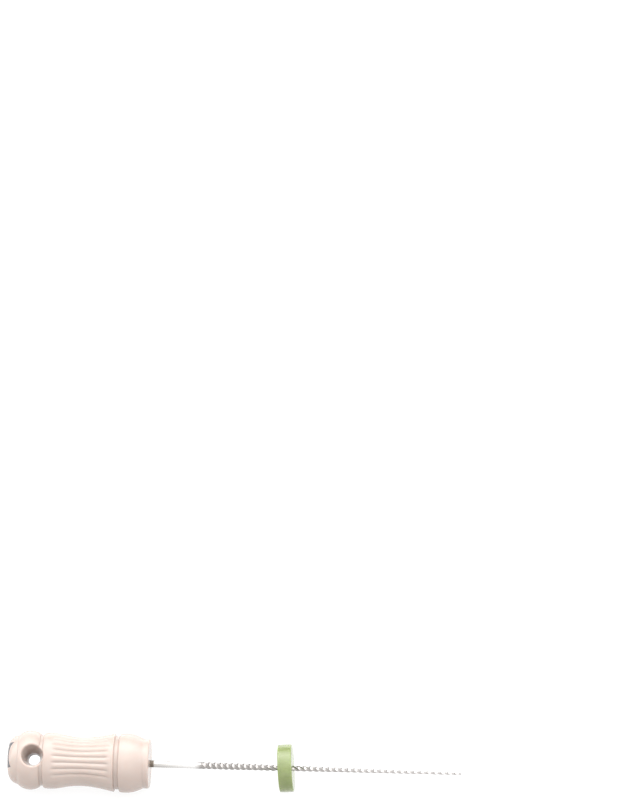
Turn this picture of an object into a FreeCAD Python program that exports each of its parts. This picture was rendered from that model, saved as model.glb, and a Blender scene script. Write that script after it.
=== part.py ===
import FreeCAD, Part
import math
import os

# Endodontic hand file, K type, ISO size 15, 21 mm long.
# Millimetres. The file's axis is X with the tip towards +X, +Z is up. The origin is on the
# axis, in the handle's flat front face, where every working length is counted from.

# Steel: ISO 3630 sizes, with a 2% taper from the tip
FILE_LENGTH = 21.0
TIP_DIAMETER = 0.15
TAPER = 0.02
SHAFT_RADIUS = 0.235
SHAFT_LENGTH = 3.4
TIP_POINT_LENGTH = 0.11

# Twist of the square working part: the lead grows from the shaft to the tip
LEAD_AT_SHAFT = 1.52
LEAD_GROWTH = 0.021
TWIST_HAND = 1
FLUTE_EDGES = 4
STATIONS_PER_LEAD = 18
RUN_OUT_LENGTH = 0.55

# Tang, moulded into the handle: the wire swells towards a coined flat that keeps it from
# turning or pulling out, and ends round
TANG_LENGTH = 6.2
COINED_START = -5.4
COINED_LENGTH = 1.6
COINED_WIDTH = 0.66
COINED_THICKNESS = 0.26
COINED_SWELL_RADIUS = 0.255

# Handle, measured forward from its rear end
HANDLE_LENGTH = 9.63
CREST_RADIUS = 2.0
CROWN = (0.08, 0.90)
DOME_SHOULDER = (0.30, 1.42)
DOME_EDGE = (0.78, 1.66)
REAR_BULGE_CREST = 1.57
REAR_BULGE_CURVE = 1.2
REAR_BULGE_START = 0.82
REAR_GROOVE = (2.23, 2.28, 2.46, 2.51)
REAR_GROOVE_FLOOR = 1.71
GRIP = ((2.51, 1.85), (2.76, 1.89), (4.1, 1.725), (5.3, 1.65), (6.3, 1.775), (7.25, 1.97))
FRONT_GROOVE = (7.25, 7.31, 7.56, 7.64)
FRONT_GROOVE_FLOOR = 1.79
FRONT_BULGE_CREST = 8.0
FRONT_BULGE_CURVE = 2.3
NOSE_START = 9.22
NOSE_RADIUS = 1.67
NOSE_EDGE_RADIUS = 0.12

# Cross hole for a safety tether, moulded by two tapered core pins that meet in the middle.
# Its axis, which is the way the mould opens, is tipped up from the horizontal.
TETHER_HOLE_PLACE = 1.82
TETHER_HOLE_RISE = 50.5
TETHER_HOLE_RADIUS = 0.41
TETHER_HOLE_HALF_LENGTH = 0.35
TETHER_MOUTH_RADIUS = 0.77
TETHER_MOUTH_HEIGHT = 1.93
TETHER_RIM_RADIUS = 0.10

# Lengthwise grip grooves: two pads of them, each centred on a mouth of the cross hole
GRIP_GROOVES_PER_PAD = 7
GRIP_GROOVE_PITCH = 14.2
GRIP_GROOVE_DEPTH = 0.10
GRIP_GROOVE_HALF_ANGLE = 5.6
GRIP_GROOVE_WALL_HEIGHT = 0.13
GRIP_GROOVE_START = 3.0
GRIP_GROOVE_END = 7.05
GRIP_GROOVE_RUN_OUT = 0.4

# Silicone stop, as it sits: a little off square on the steel, tipped about a sloping line
STOP_PLACE = 9.17
STOP_RADIUS = 1.6
STOP_THICKNESS = 0.95
STOP_BORE_RADIUS = 0.29
STOP_EDGE_RADIUS = 0.08
STOP_TILT = 4.5
STOP_TILT_LINE_RISE = 40.2

AXIS = FreeCAD.Vector(1, 0, 0)
ORIGIN = FreeCAD.Vector(0, 0, 0)


def point(place, radius):
    """A point of the handle's half outline, from its place along the handle and its radius."""
    return FreeCAD.Vector(place - HANDLE_LENGTH, 0, radius)


def arc(first, middle, last):
    return Part.Arc(point(*first), point(*middle), point(*last)).toShape()


def lines(*stations):
    return [Part.makeLine(point(*a), point(*b)) for a, b in zip(stations, stations[1:])]


def curve(stations):
    spline = Part.BSplineCurve()
    spline.interpolate([point(*station) for station in stations])
    return spline.toShape()


def bulge_radius(place, crest, curve_radius):
    """Radius of the handle on a bulge that is an arc about its crest."""
    return CREST_RADIUS - curve_radius + math.sqrt(curve_radius ** 2 - (place - crest) ** 2)


def on_rear_bulge(place):
    return (place, bulge_radius(place, REAR_BULGE_CREST, REAR_BULGE_CURVE))


def on_front_bulge(place):
    return (place, bulge_radius(place, FRONT_BULGE_CREST, FRONT_BULGE_CURVE))


def crown_arc():
    """The slightly crowned end face: an arc square to the axis at its middle."""
    depth, radius = CROWN
    sphere = (radius ** 2 + depth ** 2) / (2 * depth)
    half = radius / 2
    return arc((0, 0), (sphere - math.sqrt(sphere ** 2 - half ** 2), half), CROWN)


def ring_groove(places, floor, first_radius, last_radius):
    near, floor_start, floor_end, far = places
    return lines((near, first_radius), (floor_start, floor), (floor_end, floor), (far, last_radius))


def handle_outline():
    rear_end = on_rear_bulge(REAR_GROOVE[0])
    front_start = on_front_bulge(FRONT_GROOVE[3])
    edge = NOSE_EDGE_RADIUS
    corner = edge * (1 - math.sqrt(0.5))
    edges = [crown_arc(), arc(CROWN, DOME_SHOULDER, DOME_EDGE)]
    edges += lines(DOME_EDGE, on_rear_bulge(REAR_BULGE_START))
    edges.append(arc(on_rear_bulge(REAR_BULGE_START), on_rear_bulge(REAR_BULGE_CREST), rear_end))
    edges += ring_groove(REAR_GROOVE, REAR_GROOVE_FLOOR, rear_end[1], GRIP[0][1])
    edges.append(curve(GRIP))
    edges += ring_groove(FRONT_GROOVE, FRONT_GROOVE_FLOOR, GRIP[-1][1], front_start[1])
    edges.append(arc(front_start, on_front_bulge(FRONT_BULGE_CREST), on_front_bulge(NOSE_START)))
    edges += lines(on_front_bulge(NOSE_START), (NOSE_START + 0.02, NOSE_RADIUS),
                   (HANDLE_LENGTH - edge, NOSE_RADIUS))
    edges.append(arc((HANDLE_LENGTH - edge, NOSE_RADIUS),
                     (HANDLE_LENGTH - corner, NOSE_RADIUS - corner),
                     (HANDLE_LENGTH, NOSE_RADIUS - edge)))
    edges += lines((HANDLE_LENGTH, NOSE_RADIUS - edge), (HANDLE_LENGTH, 0), (0, 0))
    return Part.Wire(edges)


def interpolated(points, parameters):
    spline = Part.BSplineCurve()
    spline.interpolate(points, Parameters=parameters)
    return spline.toShape()


def grip_groove_rows():
    """Floor line of a groove and the upper edges of its two walls, station by station."""
    waist = curve(GRIP).Curve

    def grip_radius(place):
        return waist.value(waist.parameter(point(place, 1.8))).z

    floor_start = GRIP_GROOVE_START + GRIP_GROOVE_RUN_OUT
    floor_span = GRIP_GROOVE_END - GRIP_GROOVE_RUN_OUT - floor_start
    inner = [floor_start + floor_span * step / 4 for step in range(5)]
    floor = [(place, grip_radius(place) - GRIP_GROOVE_DEPTH) for place in inner]
    floor.insert(0, (GRIP_GROOVE_START, grip_radius(GRIP_GROOVE_START) + 0.01))
    floor.append((GRIP_GROOVE_END, grip_radius(GRIP_GROOVE_END) + 0.01))
    half = math.radians(GRIP_GROOVE_HALF_ANGLE)
    rows = [[], [], []]
    for place, radius in floor:
        top = radius + GRIP_GROOVE_WALL_HEIGHT
        rows[0].append(point(place, radius))
        for row, turn in ((rows[1], half), (rows[2], -half)):
            row.append(FreeCAD.Vector(place - HANDLE_LENGTH, -top * math.sin(turn), top * math.cos(turn)))
    return rows


def grip_groove_cutter():
    """V-shaped bar that follows the waist at one depth and runs out to the surface at both ends."""
    rows = grip_groove_rows()
    stations = [corner.x for corner in rows[0]]
    edges = [interpolated(row, stations) for row in rows]
    faces = [Part.makeRuledSurface(edges[number], edges[(number + 1) % 3]) for number in range(3)]
    for station in (0, -1):
        corners = [row[station] for row in rows]
        faces.append(Part.Face(Part.makePolygon(corners + corners[:1])))
    shell = Part.makeShell(faces)
    shell.sewShape()
    return Part.makeSolid(shell)


def grip_groove_cutters():
    cutter = grip_groove_cutter()
    cutters = []
    for pad_middle in (90 - TETHER_HOLE_RISE, 270 - TETHER_HOLE_RISE):
        for number in range(GRIP_GROOVES_PER_PAD):
            offset = (number - (GRIP_GROOVES_PER_PAD - 1) / 2) * GRIP_GROOVE_PITCH
            placed = cutter.copy()
            placed.rotate(ORIGIN, AXIS, pad_middle + offset)
            cutters.append(placed)
    return cutters


def tether_direction():
    rise = math.radians(TETHER_HOLE_RISE)
    return FreeCAD.Vector(0, -math.cos(rise), math.sin(rise))


def tether_radius(height):
    """Radius of the cross hole at a height above the handle's axis, along the hole."""
    taper_height = max(abs(height) - TETHER_HOLE_HALF_LENGTH, 0)
    taper_length = TETHER_MOUTH_HEIGHT - TETHER_HOLE_HALF_LENGTH
    return TETHER_HOLE_RADIUS + (TETHER_MOUTH_RADIUS - TETHER_HOLE_RADIUS) * taper_height / taper_length


def tether_hole_cutter():
    middle = point(TETHER_HOLE_PLACE, 0)
    half = TETHER_HOLE_HALF_LENGTH
    clear = 3.0
    direction = tether_direction()
    core = Part.makeCylinder(TETHER_HOLE_RADIUS, 2 * half, middle - direction * half, direction)
    pins = [Part.makeCone(TETHER_HOLE_RADIUS, tether_radius(clear), clear - half, middle + way * half, way)
            for way in (direction, direction * -1)]
    return core.fuse(pins)


def on_tether_mouth(edge):
    """Does the whole edge lie where the cross hole's taper meets the handle's skin?"""
    middle = point(TETHER_HOLE_PLACE, 0)
    direction = tether_direction()
    for step in range(5):
        place = edge.FirstParameter + (edge.LastParameter - edge.FirstParameter) * step / 4
        offset = edge.valueAt(place) - middle
        height = offset.dot(direction)
        distance = (offset - direction * height).Length
        if abs(height) < 1 or abs(distance - tether_radius(height)) > 0.001:
            return False
    return True


def make_handle(tang):
    body = Part.Face(handle_outline()).revolve(ORIGIN, AXIS, 360)
    body = body.cut(grip_groove_cutters())
    body = body.cut(tether_hole_cutter())
    body = body.makeFillet(TETHER_RIM_RADIUS, [edge for edge in body.Edges if on_tether_mouth(edge)])
    return body.cut(tang)


def make_tang():
    """Wire end inside the handle: swelling to the coined flat, then round again."""
    rear = Part.makeCylinder(SHAFT_RADIUS, TANG_LENGTH + COINED_START,
                             FreeCAD.Vector(-TANG_LENGTH, 0, 0), AXIS)
    flat = Part.makeBox(COINED_LENGTH, COINED_WIDTH, COINED_THICKNESS,
                        FreeCAD.Vector(COINED_START, -COINED_WIDTH / 2, -COINED_THICKNESS / 2))
    coined_end = COINED_START + COINED_LENGTH
    front = Part.makeCone(COINED_SWELL_RADIUS, SHAFT_RADIUS, -coined_end,
                          FreeCAD.Vector(coined_end, 0, 0), AXIS)
    return rear.fuse([flat, front])


def blade_radius(place):
    """Half of the ISO diameter at a place along the axis, no more than the wire itself."""
    return min(SHAFT_RADIUS, (TIP_DIAMETER + TAPER * (FILE_LENGTH - place)) / 2)


def twist(place):
    """Turn of the square section: the lead grows evenly along the working part."""
    along = place - SHAFT_LENGTH
    return TWIST_HAND * 2 * math.pi / LEAD_GROWTH * math.log(1 + LEAD_GROWTH * along / LEAD_AT_SHAFT)


def flute_edge_points(number, stations):
    points = []
    for place in stations:
        turn = twist(place) + number * 2 * math.pi / FLUTE_EDGES
        radius = blade_radius(place)
        points.append(FreeCAD.Vector(place, radius * math.cos(turn), radius * math.sin(turn)))
    return points


def make_blade():
    """Twisted tapered square bar with a pyramid point."""
    end = FILE_LENGTH - TIP_POINT_LENGTH
    count = math.ceil((end - SHAFT_LENGTH) / LEAD_AT_SHAFT * STATIONS_PER_LEAD)
    stations = [SHAFT_LENGTH + (end - SHAFT_LENGTH) * step / count for step in range(count + 1)]
    rows = [flute_edge_points(number, stations) for number in range(FLUTE_EDGES)]
    edges = [interpolated(row, stations) for row in rows]
    apex = FreeCAD.Vector(FILE_LENGTH, 0, 0)
    faces = []
    for number in range(FLUTE_EDGES):
        following = (number + 1) % FLUTE_EDGES
        faces.append(Part.makeRuledSurface(edges[number], edges[following]))
        triangle = [rows[number][-1], rows[following][-1], apex, rows[number][-1]]
        faces.append(Part.Face(Part.makePolygon(triangle)))
    square = [row[0] for row in rows]
    faces.append(Part.Face(Part.makePolygon(square + square[:1])))
    shell = Part.makeShell(faces)
    shell.sewShape()
    return Part.makeSolid(shell)


def make_run_out():
    """Cone where the ground flats fade into the round shaft."""
    start = FreeCAD.Vector(SHAFT_LENGTH, 0, 0)
    inner = SHAFT_RADIUS * math.cos(math.pi / FLUTE_EDGES) - 0.01
    return Part.makeCone(SHAFT_RADIUS, inner, RUN_OUT_LENGTH, start, AXIS)


def make_steel_file(tang):
    shaft = Part.makeCylinder(SHAFT_RADIUS, SHAFT_LENGTH, ORIGIN, AXIS)
    return tang.fuse([shaft, make_run_out(), make_blade()]).removeSplitter()


def make_stop():
    start = FreeCAD.Vector(STOP_PLACE - STOP_THICKNESS / 2, 0, 0)
    disc = Part.makeCylinder(STOP_RADIUS, STOP_THICKNESS, start, AXIS)
    rims = [edge for edge in disc.Edges if isinstance(edge.Curve, Part.Circle)]
    disc = disc.makeFillet(STOP_EDGE_RADIUS, rims)
    disc = disc.cut(Part.makeCylinder(STOP_BORE_RADIUS, STOP_THICKNESS, start, AXIS))
    rise = math.radians(STOP_TILT_LINE_RISE)
    tilt_line = FreeCAD.Vector(0, -math.cos(rise), math.sin(rise))
    disc.rotate(FreeCAD.Vector(STOP_PLACE, 0, 0), tilt_line, STOP_TILT)
    return disc


def main():
    os.makedirs("parts", exist_ok=True)
    tang = make_tang()
    pieces = {
        "handle": make_handle(tang),
        "steel_file": make_steel_file(tang),
        "silicone_stop": make_stop(),
    }
    for name, shape in pieces.items():
        print(name, len(shape.Solids), "solid, valid", shape.isValid(), "volume", round(shape.Volume, 4))
        shape.exportStep("parts/" + name + ".step")


main()
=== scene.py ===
import math

import bpy
import numpy as np
from mathutils import Matrix, Vector


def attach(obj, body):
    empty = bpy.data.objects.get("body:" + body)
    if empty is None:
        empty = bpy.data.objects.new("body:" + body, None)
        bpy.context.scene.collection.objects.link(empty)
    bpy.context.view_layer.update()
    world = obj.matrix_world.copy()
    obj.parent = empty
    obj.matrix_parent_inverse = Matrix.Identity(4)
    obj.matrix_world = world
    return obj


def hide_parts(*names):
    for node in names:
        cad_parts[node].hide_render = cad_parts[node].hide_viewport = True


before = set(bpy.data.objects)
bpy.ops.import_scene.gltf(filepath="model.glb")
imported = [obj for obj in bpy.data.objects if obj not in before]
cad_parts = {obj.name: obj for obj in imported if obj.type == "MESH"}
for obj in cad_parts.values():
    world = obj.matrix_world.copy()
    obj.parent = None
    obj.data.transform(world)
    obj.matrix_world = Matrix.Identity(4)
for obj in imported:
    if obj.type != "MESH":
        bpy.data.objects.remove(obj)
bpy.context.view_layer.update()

# Endodontic hand file. Lengths are in millimetres up to make_object(), which turns them
# into metres. X runs along the file to its tip, +Z is up, and the origin is in the handle's
# front face. Places along the handle are counted forward from its rear end; places along the
# steel are counted from the front face. Angles without another note are in degrees.
MM = 0.001

# ---------------------------------------------------------------- sizes

# Steel: smooth shaft, then a twisted square blade on the standard taper
FILE_LENGTH = 21.0
TIP_DIAMETER = 0.15
TAPER = 0.02
SHAFT_RADIUS = 0.235
SHAFT_LENGTH = 3.4
TIP_POINT_LENGTH = 0.11
LEAD_AT_SHAFT = 1.52
LEAD_GROWTH = 0.021
TWIST_HAND = 1  # right-handed
RUN_OUT_LENGTH = 0.55
RUN_OUT_EXTRA_DEPTH = 0.01
RUN_OUT_REACH = 1.05  # in run-out lengths
CORNER_WEAR = 0.0035
CORNER_START = 0.78  # radians from the middle of a face
ROWS_PER_LEAD = 36
HALF_FACE_STEPS = (0.5, 0.78, 0.93, 0.985)  # parts of a face's half width

# Tang: the wire inside the handle, with a coined flat that holds it against turning
TANG_LENGTH = 6.2
TANG_END_RADIUS = 0.18
TANG_CHAMFER = 0.004
COINED = (-5.4, -3.8)
COINED_HALF_WIDTH = 0.33
COINED_HALF_THICKNESS = 0.13
COINED_SWELL_RADIUS = 0.255
COINED_BLEND = 0.06

# Handle outline: (place, radius) points; a bulge is (place of its crest, radius of its curve)
HANDLE_LENGTH = 9.63
CREST_RADIUS = 2.0
CROWN = (0.08, 0.90)
DOME_SHOULDER = (0.30, 1.42)
DOME_EDGE = (0.78, 1.66)
REAR_BULGE = (1.57, 1.2)
REAR_BULGE_START = 0.82
REAR_GROOVE = (2.23, 2.28, 2.46, 2.51)
REAR_GROOVE_FLOOR = 1.71
GRIP = ((2.51, 1.85), (2.76, 1.89), (4.1, 1.725), (5.3, 1.65), (6.3, 1.775), (7.25, 1.97))
FRONT_GROOVE = (7.25, 7.31, 7.56, 7.64)
FRONT_GROOVE_FLOOR = 1.79
FRONT_BULGE = (8.0, 2.3)
NOSE_START = 9.22
NOSE_STEP = 0.02
NOSE_RADIUS = 1.67
NOSE_EDGE_RADIUS = 0.12
MOULDED_EDGE = 0.022  # softening of every corner of the outline
BORE_RADIUS = 0.237
BORE_END_GAP = 0.003

# Rows of the handle's skin: spacing per bend of the outline, and its limits
OUTLINE_STEP = 0.004
ROW_BEND = 0.16
ROW_SPACING = (0.014, 0.075)
HOLE_ROW_SPACING = 0.035
END_ROW_SPACING = (0.06, 0.11)
END_RADIUS = 1.3  # rows nearer the axis belong to the crown, the front face and the bore

# Cross hole: straight in the middle, flaring to a mouth on either side
HOLE_PLACE = 1.82
HOLE_RISE = 50.5
HOLE_ANGLE = 90 - HOLE_RISE  # turn of the upper mouth about +X, from +Z towards -Y
HOLE_RADIUS = 0.41
HOLE_HALF_LENGTH = 0.35
MOUTH_RADIUS = 0.77
MOUTH_HEIGHT = 1.93
HOLE_FLARE = math.atan((MOUTH_RADIUS - HOLE_RADIUS) / (MOUTH_HEIGHT - HOLE_HALF_LENGTH))
HOLE_RIM = 0.10

# Block of the skin that is re-meshed with rings around each mouth
HOLE_BLOCK = (0.86, 2.90)
HOLE_BLOCK_MARGIN = 0.05
HOLE_BLOCK_ANGLE = 33.0
HOLE_SIDE_RADIUS = 1.45  # the block's rows lie outside this radius
HOLE_SIDE_END = 4.0  # and behind this place
HOLE_RINGS = 16
RING_CROWDING = 1.3
RIM_STEPS = 8
RIM_TRIES = 161
RIM_TRY_MARGIN = 0.0005
RIM_PASSES = 5
WALL_STEPS = 8
STRAIGHT_LEVELS = (0.95, 0.5, 0.05)

# Grip grooves: two pads of seven, each centred on a mouth of the cross hole
GROOVES_EACH_WAY = 3
GROOVE_PITCH = 14.2
GROOVE_DEPTH = 0.10
VALLEY_ROUNDING = 0.6
GROOVE_ENDS = (3.0, 7.05)
GROOVE_RUN_OUT = 0.4
GROOVE_COLUMNS = (0.0, 0.4, 0.8, 1.4, 2.1, 2.9, 3.8, 4.8, 5.9)
PLAIN_COLUMNS = 20

# Mark printed on the handle's end: half side of its square, and the bars of its figures as
# middle across, middle up, half width, half height
MARK_HALF = 0.74
MARK_LINE = 0.22
MARK_DEPTH = 0.50
MARK_PLACE = (-0.10, 0.42)
MARK_BLUR = 0.012
MARK_DEPTH_BLUR = 0.02
MARK_BARS = ((-0.28, 0.0, 0.055, 0.40), (-0.37, 0.29, 0.05, 0.05), (0.22, 0.345, 0.20, 0.055),
             (0.075, 0.17, 0.055, 0.20), (0.22, 0.0, 0.20, 0.055), (0.365, -0.17, 0.055, 0.20),
             (0.22, -0.345, 0.20, 0.055))

# Silicone stop, tilted about a line across the steel
STOP_PLACE = 9.17
STOP_RADIUS = 1.6
STOP_THICKNESS = 0.95
STOP_EDGE = 0.08
STOP_CROWN = 0.006
STOP_BORE_RADIUS = 0.24
STOP_FACE_START = 0.30
STOP_FACE_MARGIN = 0.04
STOP_STRAIGHT_RADIUS = 0.34  # the tilt fades out from here inward, so the bore follows the steel
STOP_TILT = 4.5
STOP_TILT_LINE_RISE = 40.2
STOP_COLUMNS = 192

# ---------------------------------------------------------------- colours and light

# Pairs of colours are the darker and the lighter end of a mottle
IVORY = ((0.41, 0.335, 0.298), (0.44, 0.362, 0.323))
INK = (0.09, 0.09, 0.10)
DRAWN_STEEL = ((0.69, 0.68, 0.67), (0.77, 0.76, 0.75))
# Painted shade: the drawn wire darker near the handle, standing in for the handle's shadow that
# the steel reflects
STEEL_WITH_PAINTED_SHADE = ((0.44, 0.42, 0.40), (0.52, 0.50, 0.48))
GROUND_STEEL = ((0.28, 0.265, 0.255), (0.36, 0.342, 0.33))
GROUND_THIN_STEEL = ((0.42, 0.40, 0.39), (0.50, 0.48, 0.47))
# Painted reflection of the handle's shaded front face: a dark brown band on the steel where it
# leaves the handle, which is also made duller there
EXIT_PAINTED_REFLECTION = (0.215, 0.185, 0.155)
EXIT_ROUGHNESS = 0.45  # added to the steel's own
GREEN = ((0.162, 0.20, 0.067), (0.197, 0.238, 0.089))
MOTTLE_ENDS = (0.3, 0.7)  # noise values at which the mottle's two ends are reached

# Places along the steel where one finish changes into the next, and where the painted reflection
# and the painted shade near the handle fade out
PAINTED_REFLECTION_FADE = (0.22, 0.30)
PAINTED_SHADE_FADE = (0.3, 2.7)
GRINDING_FADE = (SHAFT_LENGTH - 0.4, SHAFT_LENGTH + 0.05)
THINNING_FADE = (8.0, 15.0)

# Sky brightness from the front horizon over the top to the back horizon, in even steps, and
# its strength over the middle of the stage and towards the two sides. The strength fades
# between two values of the sideways part of the direction.
SKY = (1.3, 1.1, 2.5, 4.2, 0.2, 2.2)
SKY_SCALE = 5.0
SKY_STRENGTH = (1.25, 1.0)
SKY_STRENGTH_FADE = (0.3, 0.55)
FLOOR_GLOW = 0.90
FLOOR_PALE = 0.12
FLOOR_HALF_SIZE = 8.0  # metres

# Camera with a long lens: where it stands, in millimetres, and its right and up directions
CAMERA_PLACE = (49.534, -442.899, 374.942)
CAMERA_RIGHT = (0.997245, 0.071938, -0.018083)
CAMERA_UP = (-0.029737, 0.611071, 0.791017)
CAMERA_LENS = 389.25
CAMERA_SENSOR = 36


# ---------------------------------------------------------------- meshes


class MeshParts:
    """Points and faces of a mesh that is built ring by ring."""

    def __init__(self):
        self.points = []
        self.faces = []
        self.count = 0

    def add(self, points):
        """Add points and return their numbers."""
        numbers = self.count + np.arange(len(points))
        self.points.append(np.asarray(points, float))
        self.count += len(points)
        return numbers

    def add_ring(self, ring_before, points):
        """Add a closed ring of points, joined to the ring before it, and return its numbers."""
        ring = self.add(points)
        self.faces += ring_faces(ring_before, ring)
        return ring

    def make_object(self, name, material):
        return make_object(name, np.vstack(self.points), self.faces, material)


def make_object(name, points, faces, material):
    """A smooth mesh object from points in millimetres."""
    mesh = bpy.data.meshes.new(name)
    mesh.from_pydata((points * MM).tolist(), [], faces)
    mesh.validate()
    mesh.shade_smooth()
    mesh.materials.append(material)
    obj = bpy.data.objects.new(name, mesh)
    bpy.context.scene.collection.objects.link(obj)
    return obj


def ring_faces(first, second):
    """Quads between two closed rings of point numbers."""
    after_first, after_second = np.roll(first, -1), np.roll(second, -1)
    return np.stack([first, second, after_second, after_first], -1).reshape(-1, 4).tolist()


def opening_fan(pole, ring):
    """Triangles from a pole to the closed ring after it."""
    return [[int(pole), i, j] for i, j in zip(ring.tolist(), np.roll(ring, -1).tolist())]


def closing_fan(ring, pole):
    """Triangles from a closed ring to the pole after it."""
    return [[i, int(pole), j] for i, j in zip(ring.tolist(), np.roll(ring, -1).tolist())]


def zip_rings(first, first_turn, second, second_turn):
    """Triangles between two closed rings with different counts, matched by their turns."""
    faces = []
    i = j = 0
    n, m = len(first), len(second)
    first_turn = np.r_[first_turn, first_turn[0] + 2 * math.pi]
    second_turn = np.r_[second_turn, second_turn[0] + 2 * math.pi]
    while i < n or j < m:
        corner, other = int(first[i % n]), int(second[j % m])
        if j >= m or (i < n and first_turn[i + 1] <= second_turn[j + 1]):
            i += 1
            faces.append([corner, other, int(first[i % n])])
        else:
            j += 1
            faces.append([corner, other, int(second[j % m])])
    return faces


# ---------------------------------------------------------------- handle outline


def arc(first, middle, last, steps=40):
    """Points on the circle through three points, from first to last."""
    (ax, ay), (bx, by), (cx, cy) = first, middle, last
    d = 2 * (ax * (by - cy) + bx * (cy - ay) + cx * (ay - by))
    sa, sb, sc = ax * ax + ay * ay, bx * bx + by * by, cx * cx + cy * cy
    centre_x = (sa * (by - cy) + sb * (cy - ay) + sc * (ay - by)) / d
    centre_y = (sa * (cx - bx) + sb * (ax - cx) + sc * (bx - ax)) / d
    radius = math.hypot(ax - centre_x, ay - centre_y)
    angles = np.unwrap([math.atan2(y - centre_y, x - centre_x) for x, y in (first, middle, last)])
    turn = np.linspace(angles[0], angles[2], steps)
    return np.column_stack([centre_x + radius * np.cos(turn), centre_y + radius * np.sin(turn)])


def bulge(start, end, shape, steps=60):
    """Points on a bulge of the handle, whose crest reaches CREST_RADIUS."""
    crest, curve_radius = shape
    places = np.linspace(start, end, steps)
    radii = CREST_RADIUS - curve_radius + np.sqrt(curve_radius ** 2 - (places - crest) ** 2)
    return np.column_stack([places, radii])


def spline(knots, places):
    """Natural cubic spline through the knots."""
    x, y = np.array(knots).T
    n = len(x)
    h = np.diff(x)
    matrix = np.eye(n)
    right = np.zeros(n)
    for i in range(1, n - 1):
        matrix[i, i - 1:i + 2] = h[i - 1], 2 * (h[i - 1] + h[i]), h[i]
        right[i] = 6 * ((y[i + 1] - y[i]) / h[i] - (y[i] - y[i - 1]) / h[i - 1])
    bend = np.linalg.solve(matrix, right)
    i = np.clip(np.searchsorted(x, places) - 1, 0, n - 2)
    a, b = x[i + 1] - places, places - x[i]
    return ((bend[i] * a ** 3 + bend[i + 1] * b ** 3) / (6 * h[i])
            + (y[i] / h[i] - bend[i] * h[i] / 6) * a
            + (y[i + 1] / h[i] - bend[i + 1] * h[i] / 6) * b)


def soften(path, step, width):
    """Round the corners of a path of evenly spaced points; its two ends stay in place."""
    reach = int(4 * width / step)
    kernel = np.exp(-0.5 * (np.arange(-reach, reach + 1) * step / width) ** 2)
    kernel /= kernel.sum()
    before = 2 * path[0] - path[reach:0:-1]
    after = 2 * path[-1] - path[-2:-reach - 2:-1]
    padded = np.vstack([before, path, after])
    return np.column_stack([np.convolve(padded[:, i], kernel, "valid") for i in (0, 1)])


def handle_outline():
    """Half outline from the middle of the crown to the mouth of the bore, corners softened."""
    depth, radius = CROWN
    sphere = (radius ** 2 + depth ** 2) / (2 * depth)
    crown_middle = (sphere - math.sqrt(sphere ** 2 - radius ** 2 / 4), radius / 2)
    edge = NOSE_EDGE_RADIUS
    corner = edge * (1 - math.sqrt(0.5))
    grip_places = np.linspace(GRIP[0][0], GRIP[-1][0], 120)
    parts = [
        arc((0, 0), crown_middle, CROWN),
        arc(CROWN, DOME_SHOULDER, DOME_EDGE),
        bulge(REAR_BULGE_START, REAR_GROOVE[0], REAR_BULGE),
        [(REAR_GROOVE[1], REAR_GROOVE_FLOOR), (REAR_GROOVE[2], REAR_GROOVE_FLOOR)],
        np.column_stack([grip_places, spline(GRIP, grip_places)]),
        [(FRONT_GROOVE[1], FRONT_GROOVE_FLOOR), (FRONT_GROOVE[2], FRONT_GROOVE_FLOOR)],
        bulge(FRONT_GROOVE[3], NOSE_START, FRONT_BULGE),
        [(NOSE_START + NOSE_STEP, NOSE_RADIUS)],
        arc((HANDLE_LENGTH - edge, NOSE_RADIUS), (HANDLE_LENGTH - corner, NOSE_RADIUS - corner),
            (HANDLE_LENGTH, NOSE_RADIUS - edge)),
        [(HANDLE_LENGTH, BORE_RADIUS)],
    ]
    path = np.vstack([np.asarray(part, float) for part in parts])
    length = np.r_[0, np.cumsum(np.hypot(*np.diff(path, axis=0).T))]
    even = np.arange(0, length[-1], OUTLINE_STEP)
    path = np.column_stack([np.interp(even, length, path[:, i]) for i in (0, 1)])
    return soften(path, OUTLINE_STEP, MOULDED_EDGE)


def outline_rows(path):
    """Points of the outline that carry a row: close where it bends, wider where it is straight."""
    place, radius = path.T
    tangent = np.gradient(path, axis=0)
    heading = np.unwrap(np.arctan2(tangent[:, 1], tangent[:, 0]))
    stride = np.hypot(*tangent.T)
    bend = np.abs(np.gradient(heading)) / stride
    spacing = np.clip(ROW_BEND / np.maximum(bend, 1e-6), *ROW_SPACING)
    start, end = HOLE_BLOCK[0] - HOLE_BLOCK_MARGIN, HOLE_BLOCK[1] + HOLE_BLOCK_MARGIN
    in_block = (place > start) & (place < end) & (radius > END_RADIUS)
    spacing[in_block] = np.minimum(spacing[in_block], HOLE_ROW_SPACING)
    at_end = radius < END_RADIUS
    spacing[at_end] = np.clip(spacing[at_end], *END_ROW_SPACING)
    count = np.cumsum(stride / spacing)
    rows = np.interp(np.arange(0, count[-1], 1.0), count, np.arange(len(path)))
    return np.unique(np.r_[rows, len(path) - 1].round().astype(int))


def skin_angles():
    """Turns of the skin's columns: close together across the grooves, wider between the pads."""
    half = GROOVE_PITCH / 2
    offsets = sorted({-x for x in GROOVE_COLUMNS} | set(GROOVE_COLUMNS) | {half})
    grooves = np.arange(-GROOVES_EACH_WAY, GROOVES_EACH_WAY + 1) * GROOVE_PITCH
    pad_end = grooves[-1] + half
    pad = np.r_[-pad_end, np.add.outer(grooves, offsets).ravel()]
    plain = np.linspace(pad_end, 180 - pad_end, PLAIN_COLUMNS)[1:-1]
    side = np.r_[pad, plain] + HOLE_ANGLE
    return np.r_[side, side + 180]


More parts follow.
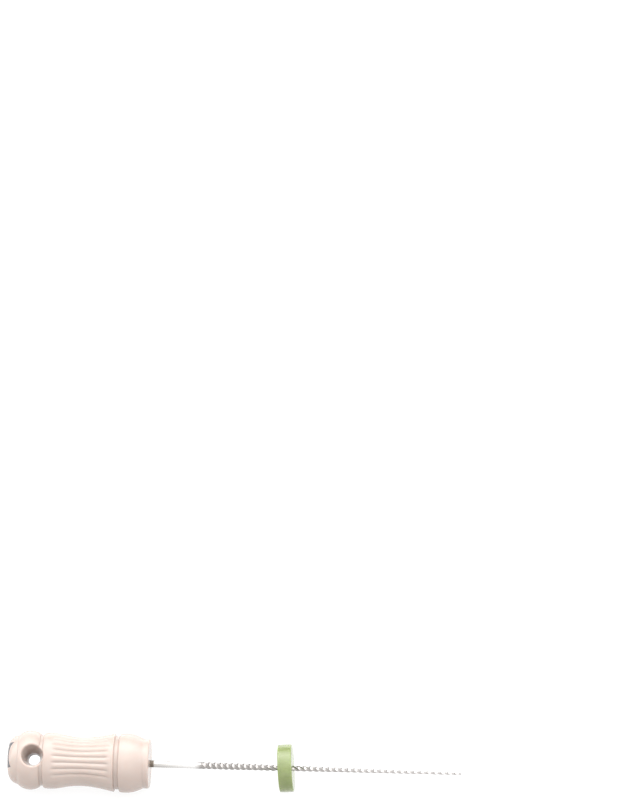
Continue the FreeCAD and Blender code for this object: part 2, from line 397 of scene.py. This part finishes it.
def groove_depth(place, angle):
    """Depth of the grip grooves: rounded ribs with narrow valleys that run out at both ends."""
    turn = (angle - HOLE_ANGLE + 90) % 180 - 90
    nearest = np.clip(np.round(turn / GROOVE_PITCH), -GROOVES_EACH_WAY, GROOVES_EACH_WAY)
    offset = np.hypot(turn - nearest * GROOVE_PITCH, VALLEY_ROUNDING)
    across = np.clip(1 - offset / (GROOVE_PITCH / 2), 0, 1) ** 2
    start, end = GROOVE_ENDS
    rise = np.clip(np.minimum(place - start, end - place) / GROOVE_RUN_OUT, 0, 1)
    return GROOVE_DEPTH * across * rise * rise * (3 - 2 * rise)


def handle_point(place, radius, angle):
    """Point of the handle; its angle is turned about +X from +Z towards -Y."""
    turn = np.radians(angle)
    return np.stack(np.broadcast_arrays(place - HANDLE_LENGTH, -radius * np.sin(turn),
                                        radius * np.cos(turn)), -1)


# ---------------------------------------------------------------- cross hole


class HoleMouth:
    """One mouth of the cross hole, in the hole's own frame: u runs along the handle, w across
    it, and high is the distance from the handle's axis, along the hole."""

    def __init__(self, path, angle):
        skin = path[(path[:, 1] > END_RADIUS) & (path[:, 0] < HOLE_SIDE_END)]
        self.skin_places, self.skin_radii = skin.T
        turn = math.radians(angle)
        self.across = np.array([0, -math.cos(turn), -math.sin(turn)])
        self.up = np.array([0, -math.sin(turn), math.cos(turn)])

    def skin_height(self, u, w):
        radius = np.interp(HOLE_PLACE + u, self.skin_places, self.skin_radii)
        return np.sqrt(np.maximum(radius ** 2 - w ** 2, 0.01))

    def point(self, u, w, high):
        base = np.array([HOLE_PLACE - HANDLE_LENGTH, 0, 0])
        along = np.array([1, 0, 0])
        return (base + np.multiply.outer(u, along) + np.multiply.outer(w, self.across)
                + np.multiply.outer(high, self.up))

    def rings(self, u, w):
        """Rings from a border (u, w) on the skin, over the rim and down the wall to the middle."""
        phi = np.arctan2(w, u)
        e_u, e_w = np.cos(phi), np.sin(phi)
        centre_rho, centre_high, reach = self.seat_rim(e_u, e_w)
        rim_rho = centre_rho + reach
        rings = []
        for step in range(1, HOLE_RINGS):
            t = (1 - step / HOLE_RINGS) ** RING_CROWDING
            ring_u = rim_rho * e_u + (u - rim_rho * e_u) * t
            ring_w = rim_rho * e_w + (w - rim_rho * e_w) * t
            rings.append(self.point(ring_u, ring_w, self.skin_height(ring_u, ring_w)))

        top_turn = np.arccos(reach / HOLE_RIM)
        for step in range(RIM_STEPS + 1):
            turn = top_turn + (math.pi - HOLE_FLARE - top_turn) * step / RIM_STEPS
            rho = centre_rho + HOLE_RIM * np.cos(turn)
            high = centre_high + HOLE_RIM * np.sin(turn)
            rings.append(self.point(rho * e_u, rho * e_w, high))

        wall_top = high
        for step in range(1, WALL_STEPS + 1):
            high = wall_top + (HOLE_HALF_LENGTH - wall_top) * step / WALL_STEPS
            rho = wall_radius(high)
            rings.append(self.point(rho * e_u, rho * e_w, high))
        for level in STRAIGHT_LEVELS:
            high = np.full(len(phi), level * HOLE_HALF_LENGTH)
            rings.append(self.point(HOLE_RADIUS * e_u, HOLE_RADIUS * e_w, high))
        return rings

    def seat_rim(self, e_u, e_w):
        """Seat the rim: in each plane through the hole's axis, a circle touching wall and skin.

        Returns the circle's centre, as its distance from the hole's axis and its height, and
        how far outward of the centre it touches the skin.
        """
        reach = np.linspace(RIM_TRY_MARGIN - HOLE_RIM, HOLE_RIM - RIM_TRY_MARGIN, RIM_TRIES)
        centre_high = np.full(len(e_u), MOUTH_HEIGHT)
        for _ in range(RIM_PASSES):
            centre_rho = wall_radius(centre_high) + HOLE_RIM / math.cos(HOLE_FLARE)
            rho = centre_rho[:, None] + reach
            skin = self.skin_height(e_u[:, None] * rho, e_w[:, None] * rho)
            heights = skin - np.sqrt(HOLE_RIM ** 2 - reach ** 2)
            touch = np.argmin(heights, axis=1)
            centre_high = heights[np.arange(len(e_u)), touch]
        return centre_rho, centre_high, reach[touch]


def wall_radius(high):
    """Radius of the cross hole at a distance from the handle's axis, along the hole."""
    return HOLE_RADIUS + np.maximum(high - HOLE_HALF_LENGTH, 0) * math.tan(HOLE_FLARE)


def block_border(offset, row_low, row_high):
    """Columns inside a mouth's block, and its border as row and column numbers, in order."""
    inside = np.flatnonzero(np.abs(offset) < HOLE_BLOCK_ANGLE)
    inside = inside[np.argsort(offset[inside])]
    left, right = inside[0], inside[-1]
    border = ([(row_low, column) for column in inside]
              + [(row, right) for row in range(row_low + 1, row_high + 1)]
              + [(row_high, column) for column in inside[-2::-1]]
              + [(row, left) for row in range(row_high - 1, row_low, -1)])
    return inside, np.array(border).T


def add_cross_hole(mesh, path, places, radii, angles, number):
    """Add the cross hole to a skin; returns which of the skin's quads are left."""
    keep = np.ones((len(places) - 1, len(angles)), bool)
    beside_hole = (radii > HOLE_SIDE_RADIUS) & (places < HOLE_SIDE_END)
    row_low = int(np.flatnonzero(beside_hole & (places >= HOLE_BLOCK[0]))[0])
    row_high = int(np.flatnonzero(beside_hole & (places <= HOLE_BLOCK[1]))[-1])
    halves = []
    for angle in (HOLE_ANGLE, HOLE_ANGLE + 180):
        mouth = HoleMouth(path, angle)
        offset = (angles - angle + 180) % 360 - 180
        inside, (row, column) = block_border(offset, row_low, row_high)
        keep[row_low:row_high, inside[:-1]] = False
        u = places[row] - HOLE_PLACE
        w = radii[row] * np.sin(np.radians(offset[column]))
        ring = number[row, column]
        for points in mouth.rings(u, w):
            ring = mesh.add_ring(ring, points)
        halves.append((ring, np.arctan2(w, u)))

    # the two halves meet in the middle, where turns run opposite ways on the two sides
    (upper, upper_turn), (lower, lower_turn) = halves
    upper_turn, lower_turn = np.mod(upper_turn, 2 * math.pi), np.mod(-lower_turn, 2 * math.pi)
    upper_order, lower_order = np.argsort(upper_turn), np.argsort(lower_turn)
    mesh.faces += zip_rings(upper[upper_order], upper_turn[upper_order],
                            lower[lower_order], lower_turn[lower_order])
    return keep


def make_handle(material):
    """One closed skin: crown, grip and front face with the cross hole, then the tang's bore."""
    path = handle_outline()
    places, radii = path[outline_rows(path)[1:]].T
    angles = skin_angles()
    mesh = MeshParts()
    pole = mesh.add([(path[0, 0] - HANDLE_LENGTH, 0, 0)])[0]
    grooved = radii[:, None] - groove_depth(places[:, None], angles[None, :])
    skin = handle_point(places[:, None], grooved, angles[None, :])
    number = mesh.add(skin.reshape(-1, 3)).reshape(len(places), len(angles))

    keep = add_cross_hole(mesh, path, places, radii, angles, number)
    a, b = number[:-1], number[1:]
    quads = np.stack([a, b, np.roll(b, -1, 1), np.roll(a, -1, 1)], -1)
    mesh.faces += quads[keep].reshape(-1, 4).tolist()
    mesh.faces += opening_fan(pole, number[0])

    bore_rows = tang_stations()[::-1]
    ring = number[-1]
    turn = np.radians(90 + angles)
    for place in bore_rows:
        radius = tang_radius(place, turn) + (BORE_RADIUS - SHAFT_RADIUS)
        ring = mesh.add_ring(ring, handle_point(place + HANDLE_LENGTH, radius, angles))
    mesh.faces += closing_fan(ring, mesh.add([(bore_rows[-1] - BORE_END_GAP, 0, 0)])[0])
    return mesh.make_object("moulded_handle", material)


# ---------------------------------------------------------------- steel


def tang_stations():
    """Rows along the tang, from its end to the handle's face, close together where it changes."""
    start, end = COINED
    return np.r_[-TANG_LENGTH, -TANG_LENGTH + TANG_CHAMFER,
                 np.linspace(-TANG_LENGTH + 0.05, start - 0.1, 8),
                 np.linspace(start - COINED_BLEND, start + COINED_BLEND, 5),
                 np.linspace(start + 0.15, end - 0.15, 10),
                 np.linspace(end - COINED_BLEND, end + COINED_BLEND, 5),
                 np.linspace(end + 0.15, -0.02, 20)]


def tang_radius(place, turn):
    """Radius of the wire inside the handle, with the coined flat blended into the round wire."""
    start, end = COINED
    if place < -TANG_LENGTH + TANG_CHAMFER / 2:
        return np.full_like(turn, TANG_END_RADIUS)
    round_radius = SHAFT_RADIUS
    if place > end:
        round_radius += (COINED_SWELL_RADIUS - SHAFT_RADIUS) * min(1.0, place / end)
    inside = np.clip(min(place - start, end - place) / COINED_BLEND * 0.5 + 0.5, 0, 1)
    flat = 1 / np.maximum(np.abs(np.cos(turn)) / COINED_HALF_WIDTH,
                          np.abs(np.sin(turn)) / COINED_HALF_THICKNESS)
    return round_radius * (1 - inside) + flat * inside


def blade_radius(place):
    """Radius of the blade's corners."""
    return min(SHAFT_RADIUS, (TIP_DIAMETER + TAPER * (FILE_LENGTH - place)) / 2)


def twist(place):
    """Turn of the blade's section, in radians; its lead grows evenly towards the tip."""
    along = max(place - SHAFT_LENGTH, 0)
    turns = math.log(1 + LEAD_GROWTH * along / LEAD_AT_SHAFT)
    return TWIST_HAND * 2 * math.pi / LEAD_GROWTH * turns


def blade_section(place, off_flat):
    """Radii of the blade's square section at angles from the middle of its faces."""
    half_width = blade_radius(place) * math.cos(math.pi / 4)
    radius = half_width / np.cos(off_flat)
    radius = np.where(np.abs(off_flat) > CORNER_START, radius - CORNER_WEAR, radius)
    run_out = (place - SHAFT_LENGTH) / RUN_OUT_LENGTH
    if run_out < RUN_OUT_REACH:
        depth = SHAFT_RADIUS * (1 - math.cos(math.pi / 4)) + RUN_OUT_EXTRA_DEPTH
        radius = np.minimum(np.maximum(radius, SHAFT_RADIUS - depth * run_out), SHAFT_RADIUS)
    return radius


def make_steel(material):
    """One loft: tang, round shaft, run-out, twisted square blade and pyramid point."""
    rising = np.array(HALF_FACE_STEPS)
    across = np.r_[-1, -rising[::-1], 0, rising]
    local = np.concatenate([np.arctan(across) + math.pi / 4 + k * math.pi / 2 for k in range(4)])
    off_flat = np.arctan(np.tile(across, 4))
    end = FILE_LENGTH - TIP_POINT_LENGTH
    blade_rows = int((end - SHAFT_LENGTH) / LEAD_AT_SHAFT * ROWS_PER_LEAD)
    stations = np.r_[tang_stations(), np.linspace(0.03, 0.6, 10),
                     np.linspace(0.8, SHAFT_LENGTH - 0.05, 24),
                     np.linspace(SHAFT_LENGTH, end, blade_rows)]
    mesh = MeshParts()
    pole = mesh.add([(stations[0] - 0.0005, 0, 0)])[0]
    ring = None
    for place in stations:
        turn = twist(place) + local
        if place < 0:
            radius = tang_radius(place, turn)
        elif place < SHAFT_LENGTH:
            radius = np.full_like(turn, SHAFT_RADIUS)
        else:
            radius = blade_section(place, off_flat)
        points = np.column_stack([np.full_like(turn, place),
                                  radius * np.cos(turn), radius * np.sin(turn)])
        if ring is None:
            first = ring = mesh.add(points)
        else:
            ring = mesh.add_ring(ring, points)
    tip = mesh.add([(FILE_LENGTH, 0, 0)])[0]
    mesh.faces += opening_fan(pole, first) + closing_fan(ring, tip)
    return mesh.make_object("ground_steel_file", material)


# ---------------------------------------------------------------- silicone stop


def stop_profile():
    """Closed half section of the disc as (place, radius): tip face, rim, rear face, bore."""
    half = STOP_THICKNESS / 2
    flat = half - STOP_EDGE
    rim_centre = STOP_RADIUS - STOP_EDGE
    face = [(half, r) for r in np.r_[STOP_BORE_RADIUS, np.linspace(
        STOP_FACE_START, rim_centre - STOP_FACE_MARGIN, 12)]]
    rim = [(flat + STOP_EDGE * math.cos(t), rim_centre + STOP_EDGE * math.sin(t))
           for t in np.linspace(0, math.pi / 2, 9)]
    side = [(x, STOP_RADIUS + STOP_CROWN * math.cos(math.pi * x / (2 * flat)))
            for x in np.linspace(flat, -flat, 14)[1:-1]]
    bore = [(x, STOP_BORE_RADIUS) for x in np.linspace(-half, half, 8)[1:-1]]
    rear = [(-x, r) for x, r in (face + rim)[::-1]]
    return np.array(face + rim + side + rear + bore)


def make_stop(material):
    """A disc with soft rims, tilted on the steel, its bore following the steel."""
    profile = stop_profile()
    place, radius = profile[:, 0, None], profile[:, 1, None]
    angles = np.linspace(0, 2 * math.pi, STOP_COLUMNS, endpoint=False)
    square = np.stack(np.broadcast_arrays(place, radius * np.cos(angles),
                                          radius * np.sin(angles)), -1)
    rise = math.radians(STOP_TILT_LINE_RISE)
    tilt = np.array(Matrix.Rotation(math.radians(STOP_TILT), 3,
                                    Vector((0, -math.cos(rise), math.sin(rise)))))
    tilted = square @ tilt.T
    straight = np.concatenate([tilted[..., :1], square[..., 1:]], -1)
    in_bore = (STOP_STRAIGHT_RADIUS - radius) / (STOP_STRAIGHT_RADIUS - STOP_BORE_RADIUS)
    in_bore = np.clip(in_bore, 0, 1)[..., None]
    points = tilted * (1 - in_bore) + straight * in_bore + (STOP_PLACE, 0, 0)
    number = np.arange(len(profile) * STOP_COLUMNS).reshape(len(profile), STOP_COLUMNS)
    faces = []
    for a, b in zip(number, np.roll(number, -1, 0)):
        faces += ring_faces(b, a)
    return make_object("silicone_stop_disc", points.reshape(-1, 3), faces, material)


# ---------------------------------------------------------------- material nodes


def new_material(name):
    """A material, its tree and shader, and the place on the object in millimetres."""
    material = bpy.data.materials.new(name)
    material.use_nodes = True
    tree = material.node_tree
    shader = tree.nodes["Principled BSDF"]
    place = tree.nodes.new("ShaderNodeTexCoord")
    scale = tree.nodes.new("ShaderNodeMapping")
    scale.inputs["Scale"].default_value = (1000, 1000, 1000)
    tree.links.new(place.outputs["Object"], scale.inputs["Vector"])
    return material, tree, shader, scale.outputs["Vector"]


def noise(tree, vector, size, detail=3, stretch=(1, 1, 1)):
    """Noise with features of a size in millimetres."""
    mapping = tree.nodes.new("ShaderNodeMapping")
    mapping.inputs["Scale"].default_value = stretch
    tree.links.new(vector, mapping.inputs["Vector"])
    node = tree.nodes.new("ShaderNodeTexNoise")
    node.inputs["Scale"].default_value = 1 / size
    node.inputs["Detail"].default_value = detail
    tree.links.new(mapping.outputs["Vector"], node.inputs["Vector"])
    return node.outputs["Fac"]


def ramp(tree, factor, stops):
    node = tree.nodes.new("ShaderNodeValToRGB")
    tree.links.new(factor, node.inputs["Fac"])
    elements = node.color_ramp.elements
    while len(elements) < len(stops):
        elements.new(0.5)
    for element, (position, colour) in zip(elements, stops):
        element.position = position
        element.color = (*colour, 1)
    return node.outputs["Color"]


def mottle(tree, factor, colours):
    """Colour that wanders between two colours with a noise."""
    return ramp(tree, factor, list(zip(MOTTLE_ENDS, colours)))


def value_range(tree, factor, low, high, from_low=MOTTLE_ENDS[0], from_high=MOTTLE_ENDS[1]):
    """Value that goes from low to high while the factor goes from from_low to from_high."""
    node = tree.nodes.new("ShaderNodeMapRange")
    tree.links.new(factor, node.inputs["Value"])
    node.inputs["From Min"].default_value = from_low
    node.inputs["From Max"].default_value = from_high
    node.inputs["To Min"].default_value = low
    node.inputs["To Max"].default_value = high
    return node.outputs["Result"]


def math_node(tree, operation, first, second=0.0):
    """Output of a math node; each operand is a socket or a number."""
    node = tree.nodes.new("ShaderNodeMath")
    node.operation = operation
    for entry, operand in zip(node.inputs, (first, second)):
        if isinstance(operand, (int, float)):
            entry.default_value = operand
        else:
            tree.links.new(operand, entry)
    return node.outputs[0]


def mixed(tree, factor, first, second):
    """First colour where the factor is 0, second where it is 1; each a socket or a colour."""
    node = tree.nodes.new("ShaderNodeMix")
    node.data_type = "RGBA"
    tree.links.new(factor, node.inputs["Factor"])
    colour_inputs = [entry for entry in node.inputs if entry.type == "RGBA"]
    for entry, colour in zip(colour_inputs, (first, second)):
        if isinstance(colour, tuple):
            entry.default_value = (*colour, 1)
        else:
            tree.links.new(colour, entry)
    return [out for out in node.outputs if out.type == "RGBA"][0]


def bump(tree, shader, factor, strength, distance):
    node = tree.nodes.new("ShaderNodeBump")
    node.inputs["Strength"].default_value = strength
    node.inputs["Distance"].default_value = distance * MM
    tree.links.new(factor, node.inputs["Height"])
    tree.links.new(node.outputs["Normal"], shader.inputs["Normal"])


def subsurface(shader, weight, radius, scale):
    """Light carried under the surface; radius per colour, in parts of the scale."""
    shader.inputs["Subsurface Weight"].default_value = weight
    shader.inputs["Subsurface Radius"].default_value = radius
    shader.inputs["Subsurface Scale"].default_value = scale * MM


# ---------------------------------------------------------------- materials


def size_mark(tree, vector):
    """Mask of the mark on the handle's end: a square outline round the size number 15."""
    turned = tree.nodes.new("ShaderNodeMapping")
    turned.inputs["Rotation"].default_value = (math.radians(90 + HOLE_RISE), 0, 0)
    tree.links.new(vector, turned.inputs["Vector"])
    split = tree.nodes.new("ShaderNodeSeparateXYZ")
    tree.links.new(turned.outputs["Vector"], split.inputs[0])
    across = math_node(tree, "SUBTRACT", split.outputs["Y"], MARK_PLACE[0])
    up = math_node(tree, "MULTIPLY", split.outputs["Z"], -1)
    up = math_node(tree, "SUBTRACT", up, MARK_PLACE[1])

    def outside(box):
        """Distance outside a box, negative inside it."""
        middle_across, middle_up, half_across, half_up = box
        gaps = []
        for place, middle, half in ((across, middle_across, half_across),
                                    (up, middle_up, half_up)):
            away = math_node(tree, "ABSOLUTE", math_node(tree, "SUBTRACT", place, middle))
            gaps.append(math_node(tree, "SUBTRACT", away, half))
        return math_node(tree, "MAXIMUM", *gaps)

    border = math_node(tree, "ABSOLUTE", outside((0, 0, MARK_HALF, MARK_HALF)))
    lines = math_node(tree, "SUBTRACT", border, MARK_LINE / 2)
    for bar in MARK_BARS:
        lines = math_node(tree, "MINIMUM", lines, outside(bar))
    ink = value_range(tree, lines, 1, 0, -MARK_BLUR, MARK_BLUR)
    edge = MARK_DEPTH - HANDLE_LENGTH
    at_end = value_range(tree, split.outputs["X"], 1, 0, edge, edge + MARK_DEPTH_BLUR)
    return math_node(tree, "MULTIPLY", ink, at_end)


def plastic_material():
    """Ivory moulded plastic with the mark printed on its end."""
    material, tree, shader, vector = new_material("handle_plastic")
    ivory = mottle(tree, noise(tree, vector, size=1.6), IVORY)
    colour = mixed(tree, size_mark(tree, vector), ivory, INK)
    tree.links.new(colour, shader.inputs["Base Color"])
    grain = noise(tree, vector, size=0.09, detail=4)
    tree.links.new(value_range(tree, grain, low=0.16, high=0.24), shader.inputs["Roughness"])
    bump(tree, shader, grain, strength=0.12, distance=0.004)
    subsurface(shader, weight=0.25, radius=(1.0, 0.55, 0.40), scale=0.35)
    return material


def steel_material():
    """Drawn wire with painted shade near the handle and a painted reflection of the handle's
    shaded face where the wire leaves it, darker where it is ground.
    """
    material, tree, shader, vector = new_material("bright_steel")
    marks = noise(tree, vector, size=0.05, detail=4, stretch=(0.12, 1, 1))
    split = tree.nodes.new("ShaderNodeSeparateXYZ")
    tree.links.new(vector, split.inputs[0])
    place = split.outputs["X"]
    # painted shade: the drawn wire darker near the handle, fading out by 2.7 mm
    painted_shade = value_range(tree, place, 1, 0, *PAINTED_SHADE_FADE)
    drawn_with_painted_shade = mixed(tree, painted_shade, mottle(tree, marks, DRAWN_STEEL),
                  mottle(tree, marks, STEEL_WITH_PAINTED_SHADE))
    thinning = value_range(tree, place, 0, 1, *THINNING_FADE)
    ground = mixed(tree, thinning, mottle(tree, marks, GROUND_STEEL),
                   mottle(tree, marks, GROUND_THIN_STEEL))
    grinding = value_range(tree, place, 0, 1, *GRINDING_FADE)
    # painted reflection of the handle's shaded face, fading out within 0.3 mm of it
    painted_reflection = value_range(tree, place, 1, 0, *PAINTED_REFLECTION_FADE)
    colour = mixed(tree, painted_reflection, mixed(tree, grinding, drawn_with_painted_shade, ground), EXIT_PAINTED_REFLECTION)
    tree.links.new(colour, shader.inputs["Base Color"])
    smooth = value_range(tree, marks, low=0.18, high=0.28)
    dulled = math_node(tree, "MULTIPLY", painted_reflection, EXIT_ROUGHNESS)
    tree.links.new(math_node(tree, "ADD", smooth, dulled), shader.inputs["Roughness"])
    bump(tree, shader, marks, strength=0.10, distance=0.002)
    shader.inputs["Metallic"].default_value = 1
    return material


def silicone_material():
    """Yellow-green silicone with a soft gloss."""
    material, tree, shader, vector = new_material("green_silicone")
    green = mottle(tree, noise(tree, vector, size=0.7), GREEN)
    tree.links.new(green, shader.inputs["Base Color"])
    grain = noise(tree, vector, size=0.06, detail=4)
    tree.links.new(value_range(tree, grain, low=0.18, high=0.27), shader.inputs["Roughness"])
    bump(tree, shader, grain, strength=0.2, distance=0.004)
    subsurface(shader, weight=0.5, radius=(0.8, 1.0, 0.5), scale=0.5)
    shader.inputs["Coat Weight"].default_value = 0.5
    shader.inputs["Coat Roughness"].default_value = 0.2
    return material


def floor_material():
    """Pale floor that glows a little, so that it stays as light as the background."""
    material = bpy.data.materials.new("pale_floor")
    material.use_nodes = True
    shader = material.node_tree.nodes["Principled BSDF"]
    shader.inputs["Roughness"].default_value = 0.9
    shader.inputs["Specular IOR Level"].default_value = 0.0
    shader.inputs["Base Color"].default_value = (FLOOR_PALE, FLOOR_PALE, FLOOR_PALE, 1)
    shader.inputs["Emission Color"].default_value = (1, 1, 1, 1)
    shader.inputs["Emission Strength"].default_value = FLOOR_GLOW
    return material


# ---------------------------------------------------------------- stage


def make_floor():
    """Floor under the handle's bulges."""
    mesh = bpy.data.meshes.new("floor")
    size, low = FLOOR_HALF_SIZE, -CREST_RADIUS * MM
    corners = [(-size, -size, low), (size, -size, low), (size, size, low), (-size, size, low)]
    mesh.from_pydata(corners, [], [(0, 1, 2, 3)])
    mesh.materials.append(floor_material())
    obj = bpy.data.objects.new("floor", mesh)
    bpy.context.scene.collection.objects.link(obj)


def make_camera():
    camera = bpy.data.cameras.new("camera")
    camera.sensor_width = CAMERA_SENSOR
    camera.lens = CAMERA_LENS
    obj = bpy.data.objects.new("camera", camera)
    right, up = Vector(CAMERA_RIGHT), Vector(CAMERA_UP)
    rotation = Matrix((right, up, right.cross(up))).transposed().to_4x4()
    obj.matrix_world = Matrix.Translation(Vector(CAMERA_PLACE) * MM) @ rotation
    bpy.context.scene.collection.objects.link(obj)
    bpy.context.scene.camera = obj


def make_lights():
    """Studio light from the sky, in bands from the front over the top to the back."""
    world = bpy.data.worlds.new("studio")
    world.use_nodes = True
    tree = world.node_tree
    background = tree.nodes["Background"]
    place = tree.nodes.new("ShaderNodeTexCoord")
    split = tree.nodes.new("ShaderNodeSeparateXYZ")
    tree.links.new(place.outputs["Generated"], split.inputs[0])
    toward_front = math_node(tree, "MULTIPLY", split.outputs["Y"], -1)
    rise = math_node(tree, "ARCTAN2", split.outputs["Z"], toward_front)
    along = value_range(tree, rise, 0, 1, 0, math.pi)
    last = len(SKY) - 1
    glow = ramp(tree, along, [(i / last, (level / SKY_SCALE,) * 3)
                              for i, level in enumerate(SKY)])
    side = math_node(tree, "ABSOLUTE", split.outputs["X"])
    strength = value_range(tree, side, SKY_SCALE * SKY_STRENGTH[0], SKY_SCALE * SKY_STRENGTH[1],
                           *SKY_STRENGTH_FADE)
    tree.links.new(glow, background.inputs["Color"])
    tree.links.new(strength, background.inputs["Strength"])
    bpy.context.scene.world = world
    bpy.context.scene.view_settings.view_transform = "Standard"


make_camera()
make_lights()
make_floor()
handle = make_handle(plastic_material())
steel = make_steel(steel_material())
stop = make_stop(silicone_material())
for piece, node, body, slot in ((handle, "handle", "file_body", "handle_plastic"),
                                (steel, "steel_file", "file_body", "stainless_steel"),
                                (stop, "silicone_stop", "stop", "silicone")):
    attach(piece, body)
    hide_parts(node)
